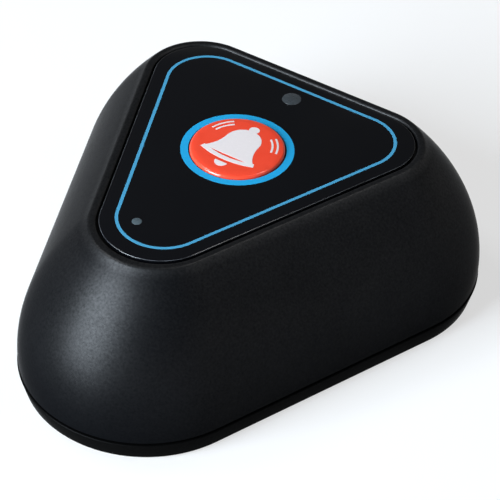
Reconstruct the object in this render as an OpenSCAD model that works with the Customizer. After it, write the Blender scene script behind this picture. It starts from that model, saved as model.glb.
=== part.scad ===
// Waiter call button: a table-top radio transmitter with one large key.
// Millimetres, +Z up, table at z = 0. The apex of the rounded triangle points along -Y.
// Plan outlines are measured from the key's axis, and grow by an offset from the face panel's edge.

/* [Body] */
// Height of the rim round the face panel above the table
body_h = 31; // [29:0.5:34]
// Height of the base plate's outer edge
base_edge_h = 3.6; // [3:0.1:4.5]
// Height of the open seam between base plate and housing
seam_gap = 0.4; // [0.3:0.05:0.6]
// Wall thickness of the housing
wall_t = 2.2; // [1.8:0.1:2.6]
// Thickness of the housing's roof under the face panel
roof_t = 1.8; // [1.5:0.1:2.4]
// Thickness of the base plate's floor
floor_t = 2; // [1.6:0.1:2.4]

/* [Plan outline] */
// Distance from the key's axis to the far edge of the face panel
panel_far = 23; // [21.5:0.5:25]
// Distance from the key's axis to each of the two sides that meet at the apex
panel_side = 18.9; // [18:0.3:20.4]
// Half of the angle between those two sides, in degrees
apex_half = 22.2; // [20:0.5:24]
// Radius of the face panel's corner at the apex
apex_r = 9.6; // [8.6:0.5:10.6]
// Radius of the face panel's two other corners
corner_r = 8.6; // [7.6:0.5:9.6]
// How fast the apex radius grows with the offset of an outline
apex_growth = 0.93; // [0.88:0.01:1]
// How fast the radius of the two other corners grows with the offset
corner_growth = 0.98; // [0.92:0.01:1]

/* [Wall profile] */
// Offset of the soft crest where the flat rim turns into the wall
crest_out = 1.7; // [1.4:0.1:2.2]
// Radius of that crest
crest_r = 0.7; // [0.4:0.1:1.2]
// Radius of the rim's rounded inner edge, beside the face panel
lip_round = 0.5; // [0.2:0.1:0.6]
// Offset of the wall at the seam
flare = 13.3; // [11:0.5:15]
// How far the profile's upper handle reaches outwards from the crest
shoulder_out = 4; // [3:0.25:5]
// How far it reaches down from the crest
shoulder_down = 4.2; // [3.2:0.2:5]
// How far the profile's lower handle stands outside the seam
belly_out = 0.65; // [0.3:0.05:0.9]
// How far it stands above the seam
belly_up = 12.6; // [10:0.2:14]
// How far the base plate's edge stands proud of the housing
base_proud = 0.15; // [0.05:0.05:0.25]
// How far the base plate's edge draws in towards the table
base_taper = 0.75; // [0.4:0.05:1]

/* [Face panel] */
// Thickness of the printed face panel
panel_t = 0.8; // [0.6:0.1:1.2]
// Thickness of the adhesive film under it
film_t = 0.2; // [0.1:0.05:0.3]
// Gap between the panel and the recess all round
panel_gap = 0.4; // [0.3:0.05:0.6]
// Radius of the large light window
window_large_r = 1.7; // [1.4:0.1:2]
// Distance from the key's axis to the large light window, towards the far edge
window_large_y = 17.5; // [16.5:0.5:18.5]
// Radius of the small light window
window_small_r = 0.85; // [0.7:0.05:1.1]
// Place of the small light window, across
window_small_x = -3.05; // [-4:0.25:-2]
// Distance from the key's axis to the small light window, towards the apex
window_small_y = 25.5; // [24.5:0.5:26.5]

/* [Key] */
// Radius of the key
key_r = 8.25; // [7.5:0.25:9]
// Height of the key's shoulder above the panel
key_rise = 0.5; // [0.4:0.1:1.2]
// Extra height of the key's crown at its middle
key_crown = 0.15; // [0.05:0.05:0.3]
// Radius of the key's rounded edge
key_round = 0.5; // [0.3:0.1:0.9]
// Clearance between the key and its hole
key_clear = 0.2; // [0.15:0.05:0.3]
// Travel of the key
key_travel = 0.5; // [0.3:0.05:0.6]
// Width of the retaining flange beyond the key
key_flange_w = 1.75; // [1.5:0.05:1.9]
// Thickness of the retaining flange
key_flange_t = 1.2; // [1:0.1:1.5]
// Wall thickness of the key
key_wall = 1.4; // [1.2:0.1:1.8]
// Radius of the post that presses the switch
key_post_r = 2.2; // [1.9:0.1:2.6]

/* [Circuit board] */
// Thickness of the circuit board
board_t = 1.6; // [1.2:0.2:2]
// Distance from the key's flange to the top of the board
board_drop = 7.3; // [7:0.1:8.5]
// Offset of the board's edge inside the panel's edge
board_inset = 1; // [0.5:0.25:2]
// Distance from the key's axis to the board's cut end near the apex
board_apex = 28.2; // [27.6:0.2:28.6]
// Width of the switch body
switch_w = 6; // [5.6:0.1:6.4]
// Height of the switch body, without its cover
switch_h = 3.4; // [3:0.1:3.8]
// Radius of the switch plunger
plunger_r = 1.7; // [1.4:0.1:1.8]
// Radius of the antenna loop
antenna_r = 7; // [6:0.25:7.4]
// Radius of the antenna wire
antenna_wire_r = 0.5; // [0.4:0.05:0.6]

/* [Battery] */
// Radius of the battery
cell_r = 5.15; // [5:0.05:5.4]
// Length of the battery, with its end button
cell_l = 28.5; // [27.5:0.5:29.5]
// Distance from the key's axis to the battery, towards the far edge
cell_y = 14; // [13.5:0.25:14.5]
// Wall thickness of the battery holder
holder_wall = 1; // [0.8:0.1:1.1]

/* [Fasteners and feet] */
// Radius of the housing's three screw bosses
boss_r = 3.5; // [3.2:0.1:3.8]
// Shank radius of the case screws
case_screw_r = 1.5; // [1.25:0.05:1.6]
// Length of the case screws under the head
case_screw_l = 10; // [8:0.5:12]
// Distance from the apex corner's centre to its screw boss
apex_boss_out = 8; // [7.6:0.2:8.4]
// Distance from each other corner's centre to its screw boss
corner_boss_out = 5.5; // [5.3:0.1:6]
// Radius of the board's three screw bosses
board_boss_r = 2.8; // [2.5:0.1:3]
// Shank radius of the board screws
board_screw_r = 1.1; // [0.9:0.05:1.2]
// Length of the board screws under the head
board_screw_l = 6; // [5:0.5:7]
// Distance from a corner's screw boss to its rubber foot
foot_out = 9; // [8.8:0.1:9.6]
// Radius of the rubber feet
foot_r = 4.5; // [4:0.1:4.8]
// Thickness of the rubber feet
foot_t = 1.4; // [1.2:0.1:1.6]
// How far the feet stand out under the base plate
foot_proud = 0.4; // [0.3:0.05:0.6]

/* [Hidden] */

arc_steps = 16;        // points on a corner's arc
wall_steps = 16;       // rows on the wall's profile
lip_steps = 3;         // rows on the rounded inner edge of its rim
round_fn = 64;
panel_chamfer = 0.2;
eps = 0.01;            // overlap that joins touching solids of one piece

// Heights, from the table up
base_z = foot_proud;
floor_z = base_z + floor_t;
ledge_z = base_z + base_edge_h;
seam_z = ledge_z + seam_gap;
recess_z = body_h - panel_t - film_t;
roof_z = recess_z - roof_t;
flange_gap = 0.1;      // running gap between the key's flange and the roof
flange_z = roof_z - flange_gap - key_flange_t;
board_top = flange_z - board_drop;
board_z = board_top - board_t;
post_z = ledge_z + 1;  // where the base plate's posts meet the housing's bosses

// ---- Plan outlines ---------------------------------------------------------------------------

function apex_rad(o) = apex_r + apex_growth * o;
function corner_rad(o) = corner_r + corner_growth * o;

// Centre of a corner's arc, at offset o from the panel's edge: 0 is the apex, 1 and 2 the others
function corner_centre(i, o) =
    i == 0 ? [0, -(panel_side + o - apex_rad(o)) / sin(apex_half)]
    : let (y = panel_far + o - corner_rad(o),
           x = (panel_side + o - corner_rad(o) + y * sin(apex_half)) / cos(apex_half))
      [i == 1 ? x : -x, y];

// Direction from a corner's centre out to its tip
function corner_dir(i) =
    let (a = [270, 45 - apex_half / 2, 135 + apex_half / 2][i]) [cos(a), sin(a)];

// Point at a distance from a corner's centre, measured at the panel's edge
function corner_point(i, out) = corner_centre(i, 0) + out * corner_dir(i);

// The rounded triangle at offset o, as points
function outline(o) = [
    for (i = [0:2])
        let (c = corner_centre(i, o),
             r = i == 0 ? apex_rad(o) : corner_rad(o),
             first = [180 + apex_half, -apex_half, 90][i],
             sweep = i == 0 ? 180 - 2 * apex_half : 90 + apex_half)
        for (k = [0:arc_steps])
            let (a = first + sweep * k / arc_steps)
            c + r * [cos(a), sin(a)]];

// The key's axis stands off the middle of the part's length
reach = flare + base_proud;
key_y = (apex_rad(reach) - corner_centre(0, reach)[1] - panel_far - reach) / 2;

module at_key(z = 0) translate([0, key_y, z]) children();

// A solid made of outlines: each row is an offset and a height, and the two ends are capped
module ring_stack(rows, closed = false) {
    n = 3 * (arc_steps + 1);
    points = [for (row = rows) for (p = outline(row[0])) [p[0], p[1], row[1]]];
    count = len(rows);
    sides = [
        for (j = [0:count - (closed ? 1 : 2)])
            for (i = [0:n - 1])
                let (a = j * n + i,
                     b = j * n + (i + 1) % n,
                     c = ((j + 1) % count) * n + (i + 1) % n,
                     d = ((j + 1) % count) * n + i)
                each [[a, b, c], [a, c, d]]];
    caps = closed ? [] : [
        [for (i = [n - 1:-1:0]) i],
        [for (i = [0:n - 1]) (count - 1) * n + i]];
    flipped = [for (f = concat(sides, caps)) [for (k = [len(f) - 1:-1:0]) f[k]]];
    polyhedron(points, flipped, convexity = 6);
}

// ---- Housing ---------------------------------------------------------------------------------

function bezier(t, p) =
    pow(1 - t, 3) * p[0] + 3 * pow(1 - t, 2) * t * p[1]
    + 3 * (1 - t) * t * t * p[2] + pow(t, 3) * p[3];

// The wall's profile from crest to seam, as offset and depth below the rim
wall_depth = body_h - seam_z;
wall_curve = [[crest_out, 0], [crest_out + shoulder_out, shoulder_down],
    [flare + belly_out, wall_depth - belly_up], [flare, wall_depth]];
function wall_point(t) = bezier(t, wall_curve);
// The same profile, moved inwards by the wall's thickness
function inner_point(t) =
    let (step = 0.001,
         d = wall_point(min(t + step, 1)) - wall_point(max(t - step, 0)))
    wall_point(t) + wall_t * [-d[1], d[0]] / norm(d);

ceiling = body_h - roof_z;
shoulder_slope = atan2(shoulder_down, shoulder_out);
crest_start = crest_out - crest_r * tan(shoulder_slope / 2);

inner_rows = [
    for (k = [0:wall_steps - 1])
        let (p = inner_point(k / wall_steps))
        [p[0], body_h - max(p[1], ceiling)]];
outer_rows = [
    for (k = [wall_steps:-1:1])
        let (p = wall_point(k / wall_steps))
        [p[0], body_h - p[1]]];
crest_rows = [
    for (j = [2:-1:0])
        let (a = shoulder_slope * j / 2)
        [crest_start + crest_r * sin(a), body_h - crest_r * (1 - cos(a))]];
lip_r = min(lip_round, 0.9 * (crest_start - panel_gap));
lip_rows = [
    for (j = [0:lip_steps])
        let (a = 90 * j / lip_steps)
        [panel_gap + lip_r * (1 - sin(a)), body_h - lip_r * (1 - cos(a))]];
shell_rows = concat(
    inner_rows,
    [[flare - wall_t, seam_z]],
    outer_rows,
    crest_rows,
    lip_rows,
    [[panel_gap, recess_z]]);

case_bosses = [corner_point(0, apex_boss_out), corner_point(1, corner_boss_out),
    corner_point(2, corner_boss_out)];
board_boss_x = 20.2;
board_boss_y = 10;
board_boss_apex = 19;
board_bosses = [[0, -board_boss_apex], [board_boss_x, board_boss_y],
    [-board_boss_x, board_boss_y]];
boss_top = roof_z + roof_t / 2;
thread_bite = 0.25;    // how far a screw's thread cuts into its boss, on the radius
pilot_spare = 1;       // depth of a pilot hole past the screw's tip

// Ribs under the roof that keep the key from turning
guide_w = 1.6;
guide_clear = 0.25;
guide_in = 0.2;        // from the key's hole to a guide
guide_past = 1.6;      // how far a guide reaches past the flange
guide_under = 0.4;     // how far a guide reaches below the pressed flange
guide_r = key_r + key_clear + guide_in;
guide_l = key_flange_w + guide_past;
guide_h = key_flange_t + key_travel + guide_under;
module key_guides(h, extra = 0)
    for (side = [0, 180]) rotate(side)
        translate([guide_r - extra, -guide_w / 2 - extra, 0])
            cube([guide_l + extra, guide_w + 2 * extra, h]);

module top_shell() color([0.13, 0.13, 0.14]) at_key() {
    hole_h = 2 * (body_h - recess_z + roof_t);
    difference() {
        union() {
            ring_stack(shell_rows);
            for (p = case_bosses) translate([p[0], p[1], post_z])
                cylinder(h = boss_top - post_z, r = boss_r, $fn = round_fn);
            for (p = board_bosses) translate([p[0], p[1], board_top])
                cylinder(h = boss_top - board_top, r = board_boss_r, $fn = round_fn);
            translate([0, 0, roof_z - guide_h]) key_guides(guide_h + eps);
        }
        translate([0, 0, roof_z - hole_h / 2])
            cylinder(h = hole_h, r = key_r + key_clear, $fn = round_fn);
        window_holes(hole_h, roof_z - hole_h / 2);
        for (p = case_bosses) translate([p[0], p[1], post_z - eps])
            cylinder(h = case_bite_l + pilot_spare, r = case_screw_r - thread_bite, $fn = round_fn);
        for (p = board_bosses) translate([p[0], p[1], board_top - eps])
            cylinder(h = board_screw_l - board_t + pilot_spare,
                r = board_screw_r - thread_bite, $fn = round_fn);
    }
}

// Base plate: floor, tapered edge, ledge for the seal, and a tongue that centres the housing
tongue_clear = 0.25;
tongue_t = 1.5;
tongue_up = 2.4;       // how far the tongue rises above the ledge
edge_round = 0.35;
tongue_out = flare - wall_t - tongue_clear;
tongue_z = ledge_z + tongue_up;
base_rows = [
    [reach - base_taper - edge_round, base_z],
    [reach - base_taper, base_z + edge_round],
    [reach, ledge_z - edge_round / 2],
    [reach - edge_round / 2, ledge_z],
    [tongue_out, ledge_z],
    [tongue_out, tongue_z - edge_round],
    [tongue_out - edge_round, tongue_z],
    [tongue_out - tongue_t, tongue_z],
    [tongue_out - tongue_t, floor_z]];

foot_points = [corner_point(0, apex_boss_out + foot_out),
    corner_point(1, corner_boss_out + foot_out), corner_point(2, corner_boss_out + foot_out)];
foot_clear = 0.2;
post_wall = 1.3;
head_clear = 0.3;
shank_clear = 0.2;
head_depth = 2.5;      // how deep the case screws' heads sit in the base plate
head_wide = 1.85;      // a pan head's radius, as a share of its shank's
head_high = 1.25;      // its height, likewise
case_head_r = head_wide * case_screw_r;
case_head_h = head_high * case_screw_r;
counterbore_r = case_head_r + head_clear;
seat_z = base_z + head_depth;
case_bite_l = case_screw_l - (post_z - seat_z);
cell_gap = 0.15;       // play round the battery in its holder
cell_z = board_z - holder_wall - cell_gap - cell_r;
rib_gap = 0.3;
rib_t = 1.5;
rib_w = 8;
rib_x = 8;

module base_plate() color([0.11, 0.11, 0.12]) at_key() {
    difference() {
        union() {
            ring_stack(base_rows);
            for (p = case_bosses) translate([p[0], p[1], base_z + eps])
                cylinder(h = post_z - base_z - eps, r = counterbore_r + post_wall, $fn = round_fn);
            // Two ribs keep the battery up in its holder when the base plate is on
            for (side = [-1, 1])
                translate([side * rib_x - rib_t / 2, cell_y - rib_w / 2, floor_z - eps])
                    cube([rib_t, rib_w, cell_z - cell_r - rib_gap - floor_z + eps]);
        }
        for (p = case_bosses) translate([p[0], p[1], 0]) {
            cylinder(h = seat_z, r = counterbore_r, $fn = round_fn);
            cylinder(h = post_z + 1, r = case_screw_r + shank_clear, $fn = round_fn);
        }
        for (p = foot_points) translate([p[0], p[1], 0])
            cylinder(h = foot_t, r = foot_r + foot_clear, $fn = round_fn);
    }
}

// Soft ring squeezed in the seam, set back from the outside
seal_w = 1.1;
module case_seal() color([0.03, 0.03, 0.03]) at_key()
    ring_stack([[tongue_out + tongue_clear, ledge_z], [tongue_out + tongue_clear + seal_w, ledge_z],
        [tongue_out + tongue_clear + seal_w, seam_z], [tongue_out + tongue_clear, seam_z]],
        closed = true);

// ---- Face panel ------------------------------------------------------------------------------

// Holes for the two light windows
module window_holes(h, z) {
    fit = 0.05;
    translate([0, window_large_y, z]) cylinder(h = h, r = window_large_r + fit, $fn = round_fn);
    translate([window_small_x, -window_small_y, z])
        cylinder(h = h, r = window_small_r + fit, $fn = round_fn);
}

module face_panel() color([0.05, 0.05, 0.06]) at_key()
    difference() {
        ring_stack([[0, recess_z + film_t], [0, body_h - panel_chamfer], [-panel_chamfer, body_h]]);
        translate([0, 0, recess_z])
            cylinder(h = 2 * panel_t, r = key_r + key_clear, $fn = round_fn);
        window_holes(2 * panel_t + 1, recess_z);
    }

film_inset = 0.5;
module panel_adhesive() color([0.75, 0.75, 0.7]) at_key()
    difference() {
        translate([0, 0, recess_z]) linear_extrude(film_t) polygon(outline(-film_inset));
        translate([0, 0, recess_z - 1])
            cylinder(h = film_t + 2, r = key_r + key_clear + film_inset, $fn = round_fn);
        window_holes(film_t + 2, recess_z - 1);
    }

// Clear rods that carry the lamps' light up to the panel, with a shoulder under the roof
window_shoulder = 0.7;
window_shoulder_h = 1;
lamp_gap = 0.5;
module window(r, lamp_h) {
    bottom = board_top + lamp_h + lamp_gap;
    translate([0, 0, bottom]) cylinder(h = body_h - bottom, r = r, $fn = round_fn);
    translate([0, 0, roof_z - window_shoulder_h])
        cylinder(h = window_shoulder_h, r = r + window_shoulder, $fn = round_fn);
}
lamp_large = [3.5, 2.8, 1.9];
lamp_small = [2, 1.25, 0.8];
module window_large() color([0.36, 0.39, 0.42])
    at_key() translate([0, window_large_y, 0]) window(window_large_r, lamp_large[2]);
module window_small() color([0.36, 0.39, 0.42])
    at_key() translate([window_small_x, -window_small_y, 0]) window(window_small_r, lamp_small[2]);

// ---- Key -------------------------------------------------------------------------------------

shoulder_z = body_h + key_rise;
flat_r = key_r - key_round;
key_profile = concat(
    [[0, flange_z], [key_r + key_flange_w, flange_z],
     [key_r + key_flange_w, flange_z + key_flange_t], [key_r, flange_z + key_flange_t]],
    [for (a = [0:15:90])
        [flat_r + key_round * cos(a), shoulder_z - key_round + key_round * sin(a)]],
    [for (k = [3:-1:0])
        let (x = flat_r * k / 4) [x, shoulder_z + key_crown * (1 - pow(x / flat_r, 2))]]);
plunger_up = 1.9;      // how far the switch's plunger stands out of its body
plunger_top = board_top + switch_h + plunger_up;
post_rib_t = 1.2;
rib_bite = 0.3;        // how far a rib runs into the post and the wall

module key_cap() color([0.93, 0.25, 0.14]) at_key() {
    under_z = shoulder_z - key_wall;
    difference() {
        rotate_extrude($fn = round_fn) polygon(key_profile);
        translate([0, 0, flange_z - 1])
            cylinder(h = under_z - flange_z + 1, r = key_r - key_wall, $fn = round_fn);
        translate([0, 0, flange_z - 1]) key_guides(key_flange_t + 2, guide_clear);
    }
    translate([0, 0, plunger_top])
        cylinder(h = under_z - plunger_top + eps, r = key_post_r, $fn = round_fn);
    // Four ribs stiffen the post
    for (a = [45:90:315]) rotate(a)
        translate([key_post_r - rib_bite, -post_rib_t / 2, flange_z])
            cube([key_r - key_wall - key_post_r + 2 * rib_bite, post_rib_t,
                under_z - flange_z + eps]);
}

// ---- Switch under the key --------------------------------------------------------------------

cover_t = 0.3;
switch_top = board_top + switch_h;
well_r = 2.4;
well_d = 1.6;
plunger_clear = 0.15;  // between the plunger and the hole in the cover
plunger_flange_t = 0.55;
plunger_flange_w = 0.5;
plunger_gap = 0.12;    // running gap between the plunger's flange and the cover
plunger_low = switch_top - plunger_gap - plunger_flange_t;
dome_t = 0.1;
dome_clear = 0.2;      // between the dome's rim and the well
skirt_h = 1.4;         // how far the cover's two skirts reach down
pin_w = 0.7;
pin_t = 0.3;
pin_x = 2.25;
pin_y = switch_w / 2 + pin_t;
pin_tail = 1.2;        // how far the terminals stand out under the board
pin_shelf = 1;         // height at which a terminal enters the switch

module switch_plunger() color([0.1, 0.1, 0.1]) at_key() {
    translate([0, 0, plunger_low])
        cylinder(h = plunger_top - plunger_low, r = plunger_r, $fn = round_fn);
    translate([0, 0, plunger_low])
        cylinder(h = plunger_flange_t, r = plunger_r + plunger_flange_w, $fn = round_fn);
}

// Thin sprung disc: its rim rests in the well, its crown touches the plunger
module switch_dome() color([0.8, 0.8, 0.78]) at_key() {
    rim_r = well_r - dome_clear;
    rise = plunger_low - dome_t - (switch_top - well_d);
    sphere_r = (rim_r * rim_r + rise * rise) / (2 * rise);
    half = asin(rim_r / sphere_r);
    arc = [for (k = [0:8]) half * k / 8];
    translate([0, 0, plunger_low - dome_t - sphere_r]) rotate_extrude($fn = round_fn)
        polygon(concat(
            [for (a = arc) (sphere_r + dome_t) * [sin(a), cos(a)]],
            [for (k = [8:-1:0]) sphere_r * [sin(arc[k]), cos(arc[k])]]));
}

module switch_base() color([0.08, 0.08, 0.08]) at_key(board_top)
    difference() {
        translate([-switch_w / 2, -switch_w / 2, 0]) cube([switch_w, switch_w, switch_h]);
        translate([0, 0, switch_h - well_d])
            cylinder(h = well_d + 1, r = well_r, $fn = round_fn);
    }

module switch_cover() color([0.78, 0.78, 0.76]) at_key(switch_top) {
    difference() {
        translate([-switch_w / 2 - cover_t, -switch_w / 2, 0])
            cube([switch_w + 2 * cover_t, switch_w, cover_t]);
        translate([0, 0, -1])
            cylinder(h = cover_t + 2, r = plunger_r + plunger_clear, $fn = round_fn);
    }
    for (side = [-1, 1])
        translate([side * (switch_w / 2 + cover_t / 2) - cover_t / 2, -switch_w / 3, -skirt_h])
            cube([cover_t, 2 * switch_w / 3, skirt_h + eps]);
}

module switch_pins() color([0.8, 0.8, 0.78]) at_key(board_top) {
    for (x = [-pin_x, pin_x]) for (side = [-1, 1])
        translate([x - pin_w / 2, 0, 0]) {
            translate([0, side * pin_y - pin_t / 2, -board_t - pin_tail])
                cube([pin_w, pin_t, board_t + pin_tail + pin_shelf + pin_t]);
            translate([0, side > 0 ? switch_w / 2 : -pin_y, pin_shelf])
                cube([pin_w, pin_t, pin_t]);
        }
}

// ---- Circuit board and what it carries -------------------------------------------------------

board_hole_fit = 0.15;
notch_clear = 0.6;
slot_w = 1.8;
slot_t = 0.6;
cut_w = 4 * apex_r;    // wider than the board is at its cut end
module main_board() color([0.08, 0.33, 0.18]) at_key(board_z)
    difference() {
        linear_extrude(board_t) difference() {
            polygon(outline(-board_inset));
            translate([-cut_w / 2, -board_apex - cut_w]) square(cut_w);
        }
        for (p = case_bosses) translate([p[0], p[1], -1])
            cylinder(h = board_t + 2, r = boss_r + notch_clear, $fn = round_fn);
        for (p = board_bosses) translate([p[0], p[1], -1])
            cylinder(h = board_t + 2, r = board_screw_r + board_hole_fit, $fn = round_fn);
        for (x = [-pin_x, pin_x]) for (y = [-pin_y, pin_y]) translate([x, y, -1])
            cylinder(h = board_t + 2, r = pin_w / 2 + board_hole_fit, $fn = 24);
        for (side = [-1, 1]) translate([side * antenna_r, -antenna_y, -1])
            cylinder(h = board_t + 2, r = antenna_wire_r + board_hole_fit, $fn = 24);
        for (side = [-1, 1])
            translate([side * contact_x - slot_t / 2, cell_y - slot_w / 2, -1])
                cube([slot_t, slot_w, board_t + 2]);
    }

// Surface-mount lamp: a block with a round cup in its top
cup_share = 0.36;      // the cup's radius, as a share of the lamp's width
cup_d = 0.3;
module lamp(size)
    difference() {
        translate([-size[0] / 2, -size[1] / 2, 0]) cube(size);
        translate([0, 0, size[2] - cup_d])
            cylinder(h = 2 * cup_d, r = cup_share * size[1], $fn = round_fn);
    }

module led_large() color([0.92, 0.92, 0.88])
    at_key(board_top) translate([0, window_large_y, 0]) lamp(lamp_large);
module led_small() color([0.92, 0.92, 0.88])
    at_key(board_top) translate([window_small_x, -window_small_y, 0]) lamp(lamp_small);

chip = [4.9, 3.9, 1.4];
chip_at = [-11, -1];
chip_lift = 0.15;
dot_in = 0.8;          // from the chip's corner to the dot that marks its first lead
dot_r = 0.35;
dot_d = 0.1;
lead_pitch = 1.27;
lead_t = 0.2;
lead_w = 0.4;
lead_reach = 1;        // how far a lead stands out of the chip's side
module encoder_chip() color([0.09, 0.09, 0.09])
    at_key(board_top) translate([chip_at[0], chip_at[1], chip_lift])
        difference() {
            translate([-chip[0] / 2, -chip[1] / 2, 0]) cube(chip);
            translate([-chip[0] / 2 + dot_in, -chip[1] / 2 + dot_in, chip[2] - dot_d])
                cylinder(h = 2 * dot_d, r = dot_r, $fn = 24);
        }

// Gull-wing leads: out of the side, down, and out again on the board
module encoder_leads() color([0.75, 0.75, 0.74]) at_key(board_top)
    translate([chip_at[0], chip_at[1], 0]) {
        h = chip_lift + chip[2] / 2;
        wing = [[0, h], [0, h - lead_t], [lead_reach / 2 - lead_t, h - lead_t],
            [lead_reach / 2 - lead_t, 0], [lead_reach, 0], [lead_reach, lead_t],
            [lead_reach / 2, lead_t], [lead_reach / 2, h]];
        for (turn = [0, 180]) rotate(turn) for (k = [-1.5:1.5])
            translate([k * lead_pitch + lead_w / 2, chip[1] / 2, 0])
                rotate([90, 0, -90]) mirror([1, 0, 0]) linear_extrude(lead_w) polygon(wing);
    }

// Round can on a wider flange, with a rounded top edge
can_r = 4.6;
can_h = 3.2;
can_at = [10.5, -1];
can_flange_w = 0.45;
can_flange_t = 0.5;
can_round = 0.4;
module resonator() color([0.82, 0.81, 0.78])
    at_key(board_top) translate([can_at[0], can_at[1], 0]) {
        body_r = can_r - can_flange_w;
        rotate_extrude($fn = round_fn) polygon(concat(
            [[0, 0], [can_r, 0], [can_r, can_flange_t], [body_r, can_flange_t]],
            [for (a = [0:22.5:90])
                [body_r - can_round * (1 - cos(a)), can_h - can_round * (1 - sin(a))]],
            [[0, can_h]]));
    }

// Output transistor: a small block on three feet, two on one side and one on the other
transistor_at = [9.5, -8.5];
transistor_size = [2.9, 1.3, 1];
transistor_lift = 0.05;
transistor_foot = [0.4, 0.6, 0.3];
transistor_pitch = 0.95;
foot_bite = 0.1;       // how far a foot runs into the block
module transistor() color([0.1, 0.1, 0.1])
    at_key(board_top) translate([transistor_at[0], transistor_at[1], 0]) {
        translate([-transistor_size[0] / 2, -transistor_size[1] / 2, transistor_lift])
            cube(transistor_size);
        foot_y = transistor_size[1] / 2 - foot_bite;
        for (p = [[-transistor_pitch, -foot_y - transistor_foot[1]],
                [transistor_pitch, -foot_y - transistor_foot[1]], [0, foot_y]])
            translate([p[0] - transistor_foot[0] / 2, p[1], 0]) cube(transistor_foot);
    }

// Surface-mount resistors and capacitors, each with two soldered ends
chip_parts_at = [[-11, -6.5, 0], [-8, -6.5, 0], [-5.5, -8.5, 90], [5.5, -8.5, 90],
    [-16, 2.5, 90], [16.5, 5.5, 90], [4.5, 8.5, 0], [-4.5, 8.5, 0], [3, -24, 90]];
chip_part = [1.4, 1.2, 0.55];
chip_part_end = [0.36, 1.25, 0.6];
chip_part_reach = 0.85;    // from the middle of a part to the middle of its end
module chip_parts() color([0.62, 0.52, 0.38]) at_key(board_top)
    for (p = chip_parts_at) translate([p[0], p[1], 0]) rotate(p[2]) {
        translate([-chip_part[0] / 2, -chip_part[1] / 2, 0]) cube(chip_part);
        for (side = [-1, 1])
            translate([side * chip_part_reach - chip_part_end[0] / 2, -chip_part_end[1] / 2, 0])
                cube(chip_part_end);
    }

// Bent wire loop, with both ends through the board
antenna_y = 14;
module antenna() color([0.85, 0.62, 0.3]) at_key(board_top) translate([0, -antenna_y, 0]) {
    rotate([90, 0, 0]) rotate_extrude(angle = 180, $fn = round_fn)
        translate([antenna_r, 0]) circle(r = antenna_wire_r, $fn = 24);
    for (side = [-1, 1]) translate([side * antenna_r, 0, -board_t - pin_tail])
        cylinder(h = board_t + pin_tail, r = antenna_wire_r, $fn = 24);
}

// ---- Battery ---------------------------------------------------------------------------------

button_r = 2.6;
button_h = 1.2;
jacket_t = 0.2;
leaf_room = 1.6;       // space at each end of the battery for its contact
leaf_t = 0.3;
leaf_w = 5;
leaf_margin = 0.4;     // from the holder's lower edge to the leaf's foot
tab_fit = 0.2;         // between a leaf's tab and its slot, at each side
tab_up = 0.8;          // how far a tab stands out above the board
contact_x = cell_l / 2 + leaf_room - leaf_t / 2;
holder_l = cell_l + 2 * leaf_room;
holder_wrap = 0.35;    // how far the holder reaches below the battery's axis, in radii
holder_low = cell_z - holder_wrap * cell_r;

module battery_holder() color([0.14, 0.14, 0.15]) at_key() translate([0, cell_y, 0])
    difference() {
        translate([-holder_l / 2 - holder_wall, -cell_r - cell_gap - holder_wall, holder_low])
            cube([holder_l + 2 * holder_wall, 2 * (cell_r + cell_gap + holder_wall),
                board_z - holder_low]);
        translate([-holder_l / 2, 0, cell_z]) rotate([0, 90, 0])
            cylinder(h = holder_l, r = cell_r + cell_gap, $fn = round_fn);
        translate([-holder_l / 2, -cell_r - cell_gap, holder_low - 1])
            cube([holder_l, 2 * (cell_r + cell_gap), cell_z - holder_low + 1]);
        for (side = [-1, 1])
            translate([side * contact_x - slot_t / 2, -slot_w / 2, cell_z])
                cube([slot_t, slot_w, board_z - cell_z + 1]);
    }

// Two sprung leaves: a bow that presses on the battery's end, and a tab through the board
module battery_contacts() color([0.83, 0.82, 0.78]) at_key() {
    bow = leaf_room - leaf_t;
    leaf_low = holder_low + leaf_margin;
    leaf_top = 2 * cell_z - leaf_low;
    steps = 12;
    curve = [for (k = [0:steps])
        [-bow * sin(180 * k / steps), leaf_low + (leaf_top - leaf_low) * k / steps]];
    for (turn = [0, 180]) translate([0, cell_y, 0]) rotate(turn) translate([contact_x, 0, 0]) {
        translate([0, leaf_w / 2, 0]) rotate([90, 0, 0]) linear_extrude(leaf_w) polygon(concat(
            [for (p = curve) [p[0] - leaf_t / 2, p[1]]],
            [for (k = [steps:-1:0]) [curve[k][0] + leaf_t / 2, curve[k][1]]]));
        translate([-leaf_t / 2, -slot_w / 2 + tab_fit, leaf_top - eps])
            cube([leaf_t, slot_w - 2 * tab_fit, board_top + tab_up - leaf_top]);
    }
}

module battery_cell() color([0.8, 0.8, 0.78]) at_key(cell_z) translate([-cell_l / 2, cell_y, 0])
    rotate([0, 90, 0]) {
        cylinder(h = cell_l - button_h, r = cell_r - jacket_t, $fn = round_fn);
        cylinder(h = cell_l, r = button_r, $fn = round_fn);
    }

jacket_end = 0.4;      // bare can at each end of the jacket
module battery_jacket() color([0.25, 0.3, 0.36]) at_key(cell_z)
    translate([-cell_l / 2, cell_y, 0]) rotate([0, 90, 0])
        translate([0, 0, jacket_end]) difference() {
            cylinder(h = cell_l - button_h - 2 * jacket_end, r = cell_r, $fn = round_fn);
            translate([0, 0, -1]) cylinder(h = cell_l, r = cell_r - jacket_t, $fn = round_fn);
        }

// ---- Fasteners and feet ----------------------------------------------------------------------

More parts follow.
